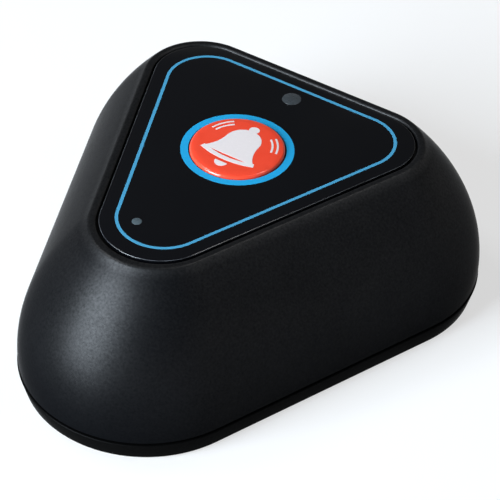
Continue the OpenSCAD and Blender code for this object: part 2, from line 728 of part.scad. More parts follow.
// Pan-head screw, head down, with a cross recess; z = 0 is the face that bears
cross_reach = 0.55;    // length of the cross's arms, as a share of the head's radius
cross_w = 0.36;        // width of the arms, as a share of the shank's radius
cross_d = 0.6;         // depth of the cross, as a share of the head's height
tip_share = 0.3;       // radius of the screw's tip, as a share of the shank's
module screw(r, l, head_r, head_h) {
    edge = head_h / 2;
    difference() {
        rotate_extrude($fn = round_fn) polygon(concat(
            [[0, -head_h], [head_r - edge, -head_h]],
            [for (a = [-67.5:22.5:0])
                [head_r - edge + edge * cos(a), -edge + edge * sin(a)]],
            [[head_r, 0], [r, 0], [r, l - r], [tip_share * r, l], [0, l]]));
        for (turn = [0, 90]) rotate(turn)
            translate([-cross_reach * head_r, -cross_w * r / 2, -2 * head_h])
                cube([2 * cross_reach * head_r, cross_w * r, (1 + cross_d) * head_h]);
    }
}

module case_screws() color([0.6, 0.6, 0.62]) at_key(seat_z)
    for (p = case_bosses) translate([p[0], p[1], 0])
        screw(case_screw_r, case_screw_l, case_head_r, case_head_h);

module board_screws() color([0.6, 0.6, 0.62]) at_key(board_z)
    for (p = board_bosses) translate([p[0], p[1], 0])
        screw(board_screw_r, board_screw_l, head_wide * board_screw_r, head_high * board_screw_r);

module feet() color([0.05, 0.05, 0.05]) at_key()
    for (p = foot_points) translate([p[0], p[1], 0])
        rotate_extrude($fn = round_fn) polygon([[0, 0], [foot_r - foot_proud, 0],
            [foot_r, foot_proud], [foot_r, foot_t], [0, foot_t]]);

top_shell();
base_plate();
case_seal();
face_panel();
panel_adhesive();
window_large();
window_small();
key_cap();
switch_plunger();
switch_dome();
switch_base();
switch_cover();
switch_pins();
main_board();
led_large();
led_small();
encoder_chip();
encoder_leads();
resonator();
transistor();
chip_parts();
antenna();
battery_holder();
battery_contacts();
battery_cell();
battery_jacket();
board_screws();
case_screws();
feet();
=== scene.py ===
import math

import bmesh
import bpy
from mathutils import Matrix, Vector


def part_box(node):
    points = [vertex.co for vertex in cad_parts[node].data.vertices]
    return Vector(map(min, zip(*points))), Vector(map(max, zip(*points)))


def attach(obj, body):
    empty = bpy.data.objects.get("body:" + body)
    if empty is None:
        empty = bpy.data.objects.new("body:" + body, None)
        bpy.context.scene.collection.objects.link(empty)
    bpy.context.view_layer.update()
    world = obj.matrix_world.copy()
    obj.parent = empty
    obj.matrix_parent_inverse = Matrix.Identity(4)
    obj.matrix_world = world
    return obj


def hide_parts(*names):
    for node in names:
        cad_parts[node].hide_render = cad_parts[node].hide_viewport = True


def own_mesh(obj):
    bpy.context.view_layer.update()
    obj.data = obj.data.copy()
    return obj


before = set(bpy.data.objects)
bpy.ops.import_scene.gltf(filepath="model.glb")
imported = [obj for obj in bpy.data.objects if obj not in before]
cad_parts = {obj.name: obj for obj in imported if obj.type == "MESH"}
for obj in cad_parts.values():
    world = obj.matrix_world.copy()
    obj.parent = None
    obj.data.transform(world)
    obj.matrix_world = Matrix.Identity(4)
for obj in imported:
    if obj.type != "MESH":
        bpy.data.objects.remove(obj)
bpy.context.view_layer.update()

# ---- Base plate --------------------------------------------------------------------------------
# The lower half of the case, moulded in the same black plastic as the housing. Its edge draws in
# towards the table, a ledge carries the seal, and a tongue inside it centres the housing. Three
# posts take the case screws from below, and three round pockets hold the rubber feet.

MM = 0.001               # pieces are modelled in millimetres, and scaled to metres at the end
ARC_STEPS = 48           # steps round one corner of an outline
SIDE_STEPS = 8           # steps along one straight side
ROUND_STEPS = 96         # steps round a hole or a turned piece that shows
FULL_TURN = 2 * math.pi
MERGE = 0.001            # points nearer to each other than this become one
SHARP = 35               # degrees; an edge that turns more than this stays sharp
APEX_HALF = math.radians(22.2)


def frame_box(node):
    """Lowest and highest corners of a CAD node, in millimetres."""
    return [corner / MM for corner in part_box(node)]


plate_low, plate_high = frame_box("base_plate")
housing_low, housing_high = frame_box("top_shell")
panel_low, panel_high = frame_box("face_panel")
key_low, key_high = frame_box("key_cap")
KEY_AXIS = Vector((0, (key_low.y + key_high.y) / 2))


def direction(angle):
    """A level step of length 1, that many radians from +X towards +Y."""
    return Vector((math.cos(angle), math.sin(angle)))


class Plan:
    """A rounded triangle round the key's axis, apex towards -Y, that can be offset outwards.
    Far and side are the distances of its far side and of its two long sides from that axis."""

    def __init__(self, far, side, apex_radius, corner_radius, apex_growth=1, corner_growth=1):
        self.far, self.side = far, side
        self.radii = apex_radius, corner_radius, corner_radius
        self.growths = apex_growth, corner_growth, corner_growth

    def centre(self, index, offset=0):
        """Centre of a corner's arc: 0 is the apex, 1 and 2 are the far corners."""
        reach = self.side + offset - self.radius(index, offset)
        if index == 0:
            return KEY_AXIS + Vector((0, -reach / math.sin(APEX_HALF)))
        up = self.far + offset - self.radius(index, offset)
        across = (reach + up * math.sin(APEX_HALF)) / math.cos(APEX_HALF)
        return KEY_AXIS + Vector((across if index == 1 else -across, up))

    def radius(self, index, offset=0):
        """Radius of a corner's arc, which grows with the offset."""
        return self.radii[index] + self.growths[index] * offset

    def on_arc(self, index, share, offset):
        """A point on a corner's arc, from its start at share 0 to its end at share 1."""
        first = (math.pi + APEX_HALF, -APEX_HALF, math.pi / 2)[index]
        sweep = math.pi - 2 * APEX_HALF if index == 0 else math.pi / 2 + APEX_HALF
        outwards = self.radius(index, offset) * direction(first + sweep * share)
        return self.centre(index, offset) + outwards

    def row(self, offset, height):
        """The points of the outline at that offset and height, corner by corner."""
        points = []
        for index in range(3):
            arc = [self.on_arc(index, step / ARC_STEPS, offset) for step in range(ARC_STEPS + 1)]
            following = self.on_arc((index + 1) % 3, 0, offset)
            side = [arc[-1].lerp(following, step / SIDE_STEPS) for step in range(1, SIDE_STEPS)]
            points += [(*point, height) for point in arc + side]
        return points


def circle(centre, radius, height, steps=64):
    """The points of a level circle."""
    rounds = [centre.to_2d() + radius * direction(FULL_TURN * k / steps) for k in range(steps)]
    return [(*point, height) for point in rounds]


def loft(bm, rows):
    """A wall through rows of points: a ring laid on the first, then extruded from row to row."""
    ring = bmesh.ops.create_circle(bm, segments=len(rows[0]), radius=1)["verts"]
    rings = []
    for row in rows:
        if rings:
            pulled = set(bmesh.ops.extrude_edge_only(bm, edges=rings[-1])["geom"])
            ring = [next(v for e in old.link_edges for v in e.verts if v in pulled) for old in ring]
        for vert, point in zip(ring, row):
            vert.co = point
        rings.append([bm.edges.get(pair) for pair in zip(ring, ring[1:] + ring[:1])])
    return rings


def fill(bm, *loops):
    """Closes a flat face between loops of edges; the inner loops stay open as holes."""
    bmesh.ops.triangle_fill(bm, use_beauty=True, use_dissolve=False, edges=sum(loops, []))


def new_piece(name, bm, material):
    """Turns a bmesh into a piece: smooth, but for its sharp edges."""
    bmesh.ops.recalc_face_normals(bm, faces=bm.faces)
    bmesh.ops.scale(bm, vec=(MM, MM, MM), verts=bm.verts)
    mesh = bpy.data.meshes.new(name)
    bm.to_mesh(mesh)
    bm.free()
    mesh.shade_smooth()
    mesh.set_sharp_from_angle(angle=math.radians(SHARP))
    mesh.materials.append(material)
    piece = bpy.data.objects.new(name, mesh)
    bpy.context.scene.collection.objects.link(piece)
    return piece


def shade(tone, factor):
    """A colour made lighter or darker by a factor."""
    return (*(factor * c for c in tone[:3]), 1)


def colour(red, green, blue):
    """A colour as it is seen, 0 to 255, turned into the shader's linear values."""
    seen = [c / 255 for c in (red, green, blue)]
    return (*(c / 12.92 if c <= 0.04045 else ((c + 0.055) / 1.055) ** 2.4 for c in seen), 1)


class Wire:
    """A socket among a material's nodes. Operators on it add Math nodes; node() adds any other."""

    def __init__(self, tree, socket):
        self.tree, self.socket = tree, socket

    def node(self, kind, settings, sockets, output=0):
        """Adds a node: its settings first, then the values or links of its sockets."""
        made = self.tree.nodes.new(kind)
        for name, value in settings.items():
            setattr(made, name, value)
        for name, value in sockets.items():
            if isinstance(value, Wire):
                self.tree.links.new(value.socket, made.inputs[name])
            else:
                made.inputs[name].default_value = value
        return Wire(self.tree, made.outputs[output])

    def math(self, operation, *values, clamp=False):
        """A Math node on this and other values, in their order."""
        settings = {"operation": operation, "use_clamp": clamp}
        return self.node("ShaderNodeMath", settings, dict(enumerate(values)))

    def __add__(self, other):
        return self.math("ADD", self, other)

    def __rsub__(self, other):
        return self.math("SUBTRACT", other, self)

    def __mul__(self, other):
        return self.math("MULTIPLY", self, other)

    def __truediv__(self, other):
        return self.math("DIVIDE", self, other)

    __radd__, __rmul__ = __add__, __mul__

    def noise(self, size, detail=2, roughness=0.5, stretch=(1, 1, 1)):
        """Noise from 0 to 1, with features of about that size in millimetres."""
        turned = self.node("ShaderNodeMapping", {}, {"Vector": self, "Scale": stretch})
        sockets = {"Vector": turned, "Scale": 1 / size, "Detail": detail, "Roughness": roughness}
        return self.node("ShaderNodeTexNoise", {}, sockets)

    def ramp(self, first, last):
        """0 up to the first value, 1 from the last value on, and a straight rise between them."""
        sockets = {"Value": self, "From Min": first, "From Max": last}
        return self.node("ShaderNodeMapRange", {}, sockets)

    def blend(self, low, high):
        """A colour between two others, by this value."""
        return self.node("ShaderNodeMix", {"data_type": "RGBA"}, {0: self, 6: low, 7: high}, 2)

    def bump(self, depth):
        """This value as a relief of that depth in millimetres."""
        sockets = {"Height": self, "Distance": depth * MM, "Strength": 1}
        return self.node("ShaderNodeBump", {}, sockets)

    def part(self, axis):
        """This place's distance along X, Y or Z."""
        return self.node("ShaderNodeSeparateXYZ", {}, {0: self}, axis)

    def distance(self, point):
        """Distance of this place from a point."""
        sockets = {0: self, 1: point}
        return self.node("ShaderNodeVectorMath", {"operation": "DISTANCE"}, sockets, "Value")


def new_material(name, settings):
    """A material with its shader's plain values set, and a Wire on its place in millimetres."""
    made = bpy.data.materials.new(name)
    made.use_nodes = True
    shader = made.node_tree.nodes["Principled BSDF"]
    for socket, value in settings.items():
        shader.inputs[socket].default_value = value
    coordinates = made.node_tree.nodes.new("ShaderNodeTexCoord")
    place = Wire(made.node_tree, coordinates.outputs["Object"])
    scaled = place.node("ShaderNodeVectorMath", {"operation": "SCALE"}, {0: place, "Scale": 1 / MM})
    return made, shader, scaled


def drive(shader, **wires):
    """Links wires to the shader's sockets: base_color, roughness, metallic, normal and so on."""
    for name, wire in wires.items():
        wire.tree.links.new(wire.socket, shader.inputs[name.replace("_", " ").title()])


SKIN_IOR = 1.03          # the smooth skin of the plastic shows only at a glancing angle
SHEEN_IOR = 2.4          # the sheen of its grain, which is the shader's coat, shows from every side
POLISH_TOP = 3           # how far below the top of the case the wall's polish is full
RIM_POLISH = 1.4, 0.2    # how far below the top the rim's own polish starts, and where it is full


def moulded(name, tone, roughness, grain_size=0.4, gloss=0.04, polish=0.0):
    """Moulded plastic: its colour wavers a little, and a spark-eroded grain breaks up its sheen.
    Gloss is the weight of that sheen. Polish is what hands add to it: it grows up the wall of the
    case, and doubles on the rim. Roughness is the sheen's; the skin under it is smoother."""
    made, shader, place = new_material(
        name, {"IOR": SKIN_IOR, "Coat IOR": SHEEN_IOR, "Coat Roughness": roughness})
    cloud = place.noise(9, detail=3)
    grain = place.noise(grain_size, detail=3, roughness=0.6)
    height = place.part("Z")
    up = height.ramp(plate_low.z, housing_high.z - POLISH_TOP)
    on_rim = height.ramp(*(housing_high.z - down for down in RIM_POLISH))
    shine = gloss + polish * (up + on_rim)
    drive(shader, base_color=(0.6 * cloud + 0.4 * grain).blend(shade(tone, 0.82), shade(tone, 1.2)),
          coat_weight=shine * (0.4 * cloud + 1.6 * grain), roughness=0.2 + 0.08 * cloud,
          normal=grain.bump(0.012))
    return made


body_plan = Plan(
    far=panel_high.y - KEY_AXIS.y, side=18.9,
    apex_radius=9.6, corner_radius=8.6, apex_growth=0.93, corner_growth=0.98)
FLARE = housing_high.y - panel_high.y      # offset of the housing's wall at the seam
WALL = 2.2
PLATE_REACH = plate_high.y - panel_high.y
SEAM_OPEN = 0.4
LEDGE = housing_low.z - SEAM_OPEN
TONGUE_TOP = plate_high.z
TONGUE_ROOM, TONGUE_THICK = 0.25, 1.5
TONGUE_OUT = FLARE - WALL - TONGUE_ROOM
TONGUE_IN = TONGUE_OUT - TONGUE_THICK
FLOOR_TOP = plate_low.z + 2
PLATE_ROUND = 0.35
PLATE_TAPER = 0.75                    # how much narrower the plate is where it meets the table
POST_TOP = LEDGE + 1
POST_RADIUS, SCREW_HOLE = 4.375, 1.7
HEAD_HOLE, SCREW_SEAT = 3.075, plate_low.z + 2.5
POCKET_RADIUS, POCKET_TOP = 4.7, 1.4
BOSS_AT = 8, 5.5                      # distances from the apex's centre and the far corners' centres
FOOT_AT = 17, 14.5
CORNER_TIPS = (3 * math.pi / 2, math.pi / 4 - APEX_HALF / 2, 3 * math.pi / 4 + APEX_HALF / 2)


def towards_corners(apex_distance, corner_distance):
    """Three points, that far from the corners' centres towards their tips."""
    distances = apex_distance, corner_distance, corner_distance
    return [body_plan.centre(i) + distances[i] * direction(CORNER_TIPS[i]) for i in range(3)]


case_bosses = towards_corners(*BOSS_AT)
foot_places = towards_corners(*FOOT_AT)


def edge_arc(centre, radius, first, last, steps=5):
    """Points along an arc of a profile, as offset and height; angles in degrees."""
    angles = [math.radians(first + (last - first) * k / steps) for k in range(steps + 1)]
    return [(centre[0] + radius * math.cos(a), centre[1] + radius * math.sin(a)) for a in angles]


bm = bmesh.new()
foot_of_edge = PLATE_REACH - PLATE_TAPER - PLATE_ROUND, plate_low.z + PLATE_ROUND
brow_of_edge = PLATE_REACH - PLATE_ROUND / 2, LEDGE - PLATE_ROUND / 2
edge_profile = (
    edge_arc(foot_of_edge, PLATE_ROUND, -90, -10)
    + edge_arc(brow_of_edge, PLATE_ROUND / 2, 0, 90)
    + [(TONGUE_OUT, LEDGE), (TONGUE_OUT, TONGUE_TOP - PLATE_ROUND)]
    + edge_arc((TONGUE_OUT - PLATE_ROUND, TONGUE_TOP - PLATE_ROUND), PLATE_ROUND, 15, 90)
    + [(TONGUE_IN, TONGUE_TOP), (TONGUE_IN, FLOOR_TOP)])
edge_rings = loft(bm, [body_plan.row(*point) for point in edge_profile])
under_holes, floor_holes = [], []
for spot in case_bosses:
    post = [(HEAD_HOLE, plate_low.z), (HEAD_HOLE, SCREW_SEAT), (SCREW_HOLE, SCREW_SEAT),
            (SCREW_HOLE, POST_TOP), (POST_RADIUS, POST_TOP), (POST_RADIUS, FLOOR_TOP)]
    rings = loft(bm, [circle(spot, *row) for row in post])
    under_holes += rings[0]
    floor_holes += rings[-1]
for spot in foot_places:
    rings = loft(bm, [circle(spot, POCKET_RADIUS, height) for height in (plate_low.z, POCKET_TOP)])
    fill(bm, rings[1])
    under_holes += rings[0]
fill(bm, edge_rings[0], under_holes)
fill(bm, edge_rings[-1], floor_holes)
base_black = moulded("base_black", colour(5, 5, 5), roughness=0.46, gloss=0.016)
base_plate_piece = new_piece("base_plate_moulding", bm, base_black)
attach(base_plate_piece, "housing")
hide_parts("base_plate")

# ---- Rubber feet -------------------------------------------------------------------------------
# Three stick-on discs of dark rubber in the base plate's pockets. They stand out a little under
# the plate, so that the button doesn't slide on a wet table.


def rubber(name, tone, grain_size):
    """Dull rubber with a fine dusty grain."""
    made, shader, place = new_material(name, {"Specular IOR Level": 0.3})
    dust = place.noise(grain_size, detail=4, roughness=0.65)
    bloom = place.noise(3)
    dusty = (*(1.7 * c + 0.004 for c in tone[:3]), 1)
    drive(shader, base_color=(0.5 * dust + 0.5 * bloom).blend(tone, dusty),
          roughness=0.72 + 0.16 * bloom, normal=dust.bump(0.02))
    return made


def finish_node(name, material):
    """Gives a CAD node its material."""
    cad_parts[name].material_slots[0].material = material


finish_node("feet", rubber("foot_rubber", colour(24, 24, 24), 0.3))

# ---- Case screws -------------------------------------------------------------------------------
# Three zinc-plated pan-head screws, driven up from below through the base plate's posts. They cut
# their own thread in the housing's tall bosses, and hold the case together.


def plated(name, tone, roughness, streak=(1, 1, 1)):
    """Plated or rolled metal: slightly uneven in tone and gloss, with fine drawn lines."""
    made, shader, place = new_material(name, {"Metallic": 1})
    stain = place.noise(1.6, detail=3)
    lines = place.noise(0.15, detail=2, stretch=streak)
    drive(shader, base_color=(0.6 * stain + 0.4 * lines).blend(shade(tone, 0.72), tone),
          roughness=roughness - 0.08 + 0.16 * stain, normal=lines.bump(0.004))
    return made


screw_steel = plated("screw_steel", colour(196, 198, 204), 0.3)
finish_node("case_screws", screw_steel)

# ---- Battery and its holder --------------------------------------------------------------------
# A 12 V cell lies across the case in a black nylon cradle under the board. A sprung leaf presses
# on each end. The cell is a steel can in a shrunk jacket, blue with a gold end and a white line.

finish_node("battery_holder", moulded("holder_black", colour(34, 34, 36), roughness=0.55))
spring_steel = plated("spring_steel", colour(214, 212, 202), 0.24, streak=(1, 6, 1))
finish_node("battery_contacts", spring_steel)
finish_node("battery_cell", plated("cell_can", colour(206, 206, 200), 0.28, streak=(0.2, 4, 4)))

BAND_LONG = 7                         # of the gold end of the jacket
LINE_AWAY, LINE_HALF_WIDE = 0.6, 0.3  # the white line beside it
band_start = frame_box("battery_jacket")[1].x - BAND_LONG
jacket, shader, place = new_material("jacket_blue", {"Coat Weight": 0.4, "Coat Roughness": 0.15})
along = place.part("X")
gold_band = along.math("GREATER_THAN", along, band_start)
white_line = along.math("COMPARE", along, band_start - LINE_AWAY, LINE_HALF_WIDE)
creases = place.noise(1.2, detail=3, stretch=(0.3, 1, 1))
wrap = gold_band.blend(colour(44, 62, 92), colour(186, 150, 70))
drive(shader, base_color=white_line.blend(wrap, colour(214, 214, 208)),
      metallic=0.7 * gold_band, roughness=0.28 + 0.14 * creases, normal=creases.bump(0.02))
finish_node("battery_jacket", jacket)

# ---- Circuit board -----------------------------------------------------------------------------
# A glass-epoxy board under green solder mask, held up against the housing's short bosses by three
# screws. Copper tracks show through the mask as a lighter green.

TRACK_PITCH, TRACK_HALF = 2.6, 0.09   # the second as a share of the first
TRACK_EASE = 0.1
board_green, shader, place = new_material("board_green", {"Coat Weight": 0.35, "Coat Roughness": 0.2})
cells = {"Vector": place, "Scale": 1 / TRACK_PITCH, "Randomness": 0.75}
to_track = place.node("ShaderNodeTexVoronoi", {"feature": "DISTANCE_TO_EDGE"}, cells)
tracks = 1 - to_track.math("SMOOTH_MIN", to_track / TRACK_HALF, 1, TRACK_EASE, clamp=True)
weave = place.noise(0.35, detail=1, stretch=(1, 3, 1))
mask_green = (0.3 * weave).blend(colour(14, 74, 42), colour(30, 98, 60))
drive(shader, base_color=tracks.blend(mask_green, colour(38, 118, 66)),
      roughness=0.34 + 0.1 * weave, normal=tracks.bump(0.03))
finish_node("main_board", board_green)
finish_node("board_screws", screw_steel)

# ---- Switch under the key ----------------------------------------------------------------------
# A small tactile switch: a moulded base, a folded cover of tin-plated sheet, and a plunger that
# the key pushes. Its four terminals are soldered through the board.

switch_black = moulded("switch_black", colour(30, 30, 31), roughness=0.42, grain_size=0.15)
tinned_steel = plated("tinned_steel", colour(204, 203, 196), 0.32)
finish_node("switch_base", switch_black)
finish_node("switch_plunger", switch_black)
finish_node("switch_cover", tinned_steel)
finish_node("switch_pins", tinned_steel)

# ---- Snap disc of the switch -------------------------------------------------------------------
# A domed disc of thin sprung steel. Its rim stays in the well of the switch, and its crown gives
# way under the plunger with a click; here it is built in its resting, domed shape.

DISC_RIM = 2.2           # radius of its lower edge
DISC_THICK = 0.1
disc_low, disc_high = frame_box("switch_dome")
disc_rise = disc_high.z - DISC_THICK - disc_low.z
disc_bend = (DISC_RIM ** 2 + disc_rise ** 2) / (2 * disc_rise)
bm = bmesh.new()
bm.verts.new((0, 0, disc_bend))
bmesh.ops.spin(bm, geom=bm.verts[:], cent=(0, 0, 0), axis=(0, 1, 0),
               angle=math.asin(DISC_RIM / disc_bend), steps=8)
bmesh.ops.spin(bm, geom=bm.verts[:] + bm.edges[:], cent=(0, 0, 0), axis=(0, 0, 1),
               angle=FULL_TURN, steps=48, use_merge=True)
bmesh.ops.remove_doubles(bm, verts=bm.verts, dist=MERGE)
bmesh.ops.recalc_face_normals(bm, faces=bm.faces)
bmesh.ops.solidify(bm, geom=bm.faces, thickness=-DISC_THICK)
bend_middle = (*KEY_AXIS, disc_low.z + disc_rise - disc_bend)
bmesh.ops.translate(bm, vec=bend_middle, verts=bm.verts)
disc_piece = new_piece("snap_disc", bm, spring_steel)
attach(disc_piece, "housing")
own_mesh(disc_piece)
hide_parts("switch_dome")

# ---- Lamps on the board ------------------------------------------------------------------------
# Two surface-mount lamps, soldered on the board under the light windows. Each is a white moulded
# cup round a pool of yellow phosphor.

POOL_SHARE = 0.36        # the pool's radius, as a share of the lamp's width


def lamp_material(node):
    """White nylon, with a round pool of yellow phosphor at the middle of that lamp's top."""
    low, high = frame_box(node)
    middle = (low + high) / 2
    made, shader, place = new_material(node + "_lens", {"Specular IOR Level": 0.4})
    apart = place.distance((middle.x, middle.y, high.z))
    pool = apart.math("LESS_THAN", apart, POOL_SHARE * (high.y - low.y))
    speckle = place.noise(0.12, detail=3)
    phosphor = speckle.blend(colour(214, 190, 66), colour(240, 220, 110))
    nylon = speckle.blend(colour(222, 222, 214), colour(238, 238, 232))
    drive(shader, base_color=pool.blend(nylon, phosphor), roughness=0.35 + 0.2 * speckle,
          normal=speckle.bump(0.01))
    return made


finish_node("led_large", lamp_material("led_large"))
finish_node("led_small", lamp_material("led_small"))

# ---- Radio parts on the board ------------------------------------------------------------------
# The code chip and its eight leads, the resonator in its round can, the output transistor, small
# resistors and capacitors, and the wire loop that sends the signal.

chip_black = moulded("chip_black", colour(28, 28, 30), roughness=0.6, grain_size=0.1)
finish_node("encoder_chip", chip_black)
finish_node("transistor", chip_black)
finish_node("encoder_leads", tinned_steel)
finish_node("resonator", plated("can_metal", colour(210, 204, 186), 0.26))
finish_node("antenna", plated("antenna_brass", colour(205, 152, 78), 0.3, streak=(1, 4, 4)))

chip_ceramic, shader, place = new_material("chip_ceramic", {"Specular IOR Level": 0.4})
firing = place.noise(0.5, detail=3)
drive(shader, base_color=firing.blend(colour(150, 120, 84), colour(186, 158, 116)),
      roughness=0.4 + 0.2 * firing, normal=firing.bump(0.01))
finish_node("chip_parts", chip_ceramic)

# ---- Housing -----------------------------------------------------------------------------------
# One black plastic moulding with a fine satin grain. Its wall flares from a soft crest beside the
# flat rim down to the seam, and a shallow recess in its top takes the face panel. Under the roof
# are three tall bosses for the case screws, three short ones for the board, and two key guides.

RIM = housing_high.z
FILM_THICK, ROOF_THICK = 0.2, 1.8
RECESS = panel_low.z - FILM_THICK
ROOF = RECESS - ROOF_THICK
PANEL_GAP = 0.4
LIP_ROUND = 0.5
CREST_OUT, CREST_RADIUS = 1.7, 0.7
SHOULDER_OUT, SHOULDER_DOWN = 4, 4.2  # the upper and the lower handle of the wall's curve
BELLY_OUT, BELLY_UP = 0.65, 12.6
WALL_STEPS = 36
SEAM_EASE = 0.12
WALL_DEPTH = RIM - housing_low.z
FLANGE_PAST = 1.75                    # how far the key's flange reaches past its cap
KEY_RADIUS = (key_high.y - key_low.y) / 2 - FLANGE_PAST
KEY_ROOM = 0.2
KEY_HOLE = KEY_RADIUS + KEY_ROOM
WINDOW_SHOULDER, WINDOW_ROOM = 0.7, 0.05
BOARD_TOP = frame_box("main_board")[1].z
BOARD_BOSSES = (0, -19), (20.2, 10), (-20.2, 10)   # from the key's axis
BOSS_BITE = 0.9                       # how far a boss runs into the roof
TALL_BOSS = 3.5, 1.25, 8.5            # outer radius, and the pilot hole's radius and depth
SHORT_BOSS = 2.8, 0.85, 5.4
GUIDE_LONG, GUIDE_WIDE, GUIDE_HIGH = FLANGE_PAST + 1.6, 1.6, 2.1
GUIDE_AWAY = 0.2                      # from the key's hole to the guide

RIM_APEX_RADIUS = 10.25               # the rim's apex is a little rounder than the wall's below it
rim_growth = (body_plan.radius(0, FLARE) - RIM_APEX_RADIUS) / FLARE
rim_plan = Plan(body_plan.far, body_plan.side, RIM_APEX_RADIUS, body_plan.radii[1],
                rim_growth, body_plan.growths[1])
wall_handles = [Vector(p) for p in (
    (CREST_OUT, 0), (CREST_OUT + SHOULDER_OUT, SHOULDER_DOWN),
    (FLARE + BELLY_OUT, WALL_DEPTH - BELLY_UP), (FLARE, WALL_DEPTH))]


def wall_point(share):
    """The wall's profile as offset and depth below the rim, from the crest at 0 to the seam at 1."""
    rest = 1 - share
    weights = rest ** 3, 3 * rest ** 2 * share, 3 * rest * share ** 2, share ** 3
    return sum((w * p for w, p in zip(weights, wall_handles)), Vector((0, 0)))


def inner_wall_point(share):
    """The same profile, moved inwards by the wall's thickness."""
    step = 0.001
    run = wall_point(min(share + step, 1)) - wall_point(max(share - step, 0))
    return wall_point(share) + WALL * Vector((-run.y, run.x)).normalized()


def boss(bm, centre, size, low):
    """A boss under the roof, with a blind pilot hole that opens downwards."""
    outer, inner, depth = size
    rings = loft(bm, [circle(centre, *row) for row in (
        (inner, low + depth), (inner, low), (outer, low), (outer, ROOF + BOSS_BITE))])
    fill(bm, rings[0])
    fill(bm, rings[-1])


bm = bmesh.new()
slope = math.atan2(SHOULDER_DOWN, SHOULDER_OUT)
crest_start = CREST_OUT - CREST_RADIUS * math.tan(slope / 2)
outside = [(FLARE - SEAM_EASE, housing_low.z)]
for k in range(WALL_STEPS, 0, -1):
    point = wall_point(k / WALL_STEPS)
    outside.append((point.x, RIM - point.y + (SEAM_EASE if k == WALL_STEPS else 0)))
outside += edge_arc((crest_start, RIM - CREST_RADIUS), CREST_RADIUS, 90 - math.degrees(slope), 90, 8)
outside += edge_arc((PANEL_GAP + LIP_ROUND, RIM - LIP_ROUND), LIP_ROUND, 90, 180, 8)
outside.append((PANEL_GAP, RECESS))
inside = [(FLARE - WALL, housing_low.z)]
for k in range(WALL_STEPS - 1, -1, -1):
    point = inner_wall_point(k / WALL_STEPS)
    if RIM - point.y < ROOF:
        inside.append((point.x, RIM - point.y))
    else:
        inside.append((point.x, ROOF))
        break
wall_rings = loft(bm, [rim_plan.row(*point) for point in outside[::-1] + inside])
holes = [(KEY_AXIS, KEY_HOLE)]
for window in ("window_large", "window_small"):
    low, high = frame_box(window)
    rod = (high.x - low.x) / 2 - WINDOW_SHOULDER
    holes.append((((low + high) / 2).to_2d(), rod + WINDOW_ROOM))
roof_holes, recess_holes = [], []
for spot, radius in holes:
    rings = loft(bm, [circle(spot, radius, height, ROUND_STEPS) for height in (ROOF, RECESS)])
    roof_holes += rings[0]
    recess_holes += rings[1]
fill(bm, wall_rings[0], recess_holes)
fill(bm, wall_rings[-1], roof_holes)
for spot in case_bosses:
    boss(bm, spot, TALL_BOSS, POST_TOP)
for spot in BOARD_BOSSES:
    boss(bm, KEY_AXIS + Vector(spot), SHORT_BOSS, BOARD_TOP)
for side in (-1, 1):
    middle = (side * (KEY_HOLE + GUIDE_AWAY + GUIDE_LONG / 2), KEY_AXIS.y, ROOF - GUIDE_HIGH / 2)
    guide = Matrix.Translation(middle) @ Matrix.Diagonal((GUIDE_LONG, GUIDE_WIDE, GUIDE_HIGH, 1))
    bmesh.ops.create_cube(bm, size=1, matrix=guide)
housing_black = moulded("housing_black", colour(5, 6, 8), roughness=0.42, gloss=0.009, polish=0.086)
housing_piece = new_piece("housing_moulding", bm, housing_black)
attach(housing_piece, "housing")
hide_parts("top_shell")

# ---- Seal in the seam --------------------------------------------------------------------------
# A soft black ring, squeezed between housing and base plate and set back from the outside, so that
# the seam shows as a thin dark line.

SEAL_WIDE, SEAL_BULGE = 1.1, 0.1
seal_in, seal_out = FLARE - WALL, FLARE - WALL + SEAL_WIDE
bulge = seal_out + SEAL_BULGE, (LEDGE + housing_low.z) / 2
seal_profile = [(seal_in, LEDGE), (seal_out, LEDGE), bulge, (seal_out, housing_low.z),
                (seal_in, housing_low.z), (seal_in, LEDGE)]
bm = bmesh.new()
loft(bm, [body_plan.row(*point) for point in seal_profile])
bmesh.ops.remove_doubles(bm, verts=bm.verts, dist=MERGE)
seal_piece = new_piece("seal_ring", bm, rubber("seal_rubber", colour(14, 14, 14), 0.2))
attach(seal_piece, "housing")
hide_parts("case_seal")

# ---- Face panel --------------------------------------------------------------------------------
# A stiff glossy sheet, printed black from behind and held in the recess by a film of adhesive. Its
# cut edge is eased, and a thin light grey band is painted on it: a painted highlight that stands
# for the light the edge catches. It has three holes.

PANEL_EASE = 0.12
EDGE_HIGHLIGHT_DEPTHS = 0.02, 0.08                # depths below the top between which the cut edge carries its painted highlight

panel_black, shader, place = new_material("panel_black", {"Specular IOR Level": 0.5})
wash = place.noise(14, detail=2)
dimple = place.noise(1.1, detail=1)
glint_patches = place.noise(2.5, detail=3)
height = place.part("Z")
line_middle, line_half = RIM - sum(EDGE_HIGHLIGHT_DEPTHS) / 2, (EDGE_HIGHLIGHT_DEPTHS[1] - EDGE_HIGHLIGHT_DEPTHS[0]) / 2
# painted highlight: a band of the cut edge is painted light grey, unevenly along the edge, for the
# light it catches
edge_highlight_band = height.math("COMPARE", height, line_middle, line_half)
edge_glint = edge_highlight_band * (0.15 + 0.45 * glint_patches.ramp(0.35, 0.65))
printed = wash.blend(colour(7, 8, 11), colour(10, 11, 14))
drive(shader, base_color=edge_glint.blend(printed, colour(110, 113, 118)),
      roughness=0.08 + 0.04 * wash + 0.3 * edge_glint, normal=dimple.bump(0.0012))


def sheet(profile, hole_room=0.0):
    """A flat sheet in the recess: a lofted edge, and holes for the key and both windows."""
    bm = bmesh.new()
    rings = loft(bm, [rim_plan.row(*point) for point in profile])
    under_holes, top_holes = [], []
    levels = profile[0][1], profile[-1][1]
    for spot, radius in holes:
        walls = loft(bm, [circle(spot, radius + hole_room, level, ROUND_STEPS) for level in levels])
        under_holes += walls[0]
        top_holes += walls[1]
    fill(bm, rings[0], under_holes)
    fill(bm, rings[-1], top_holes)
    return bm


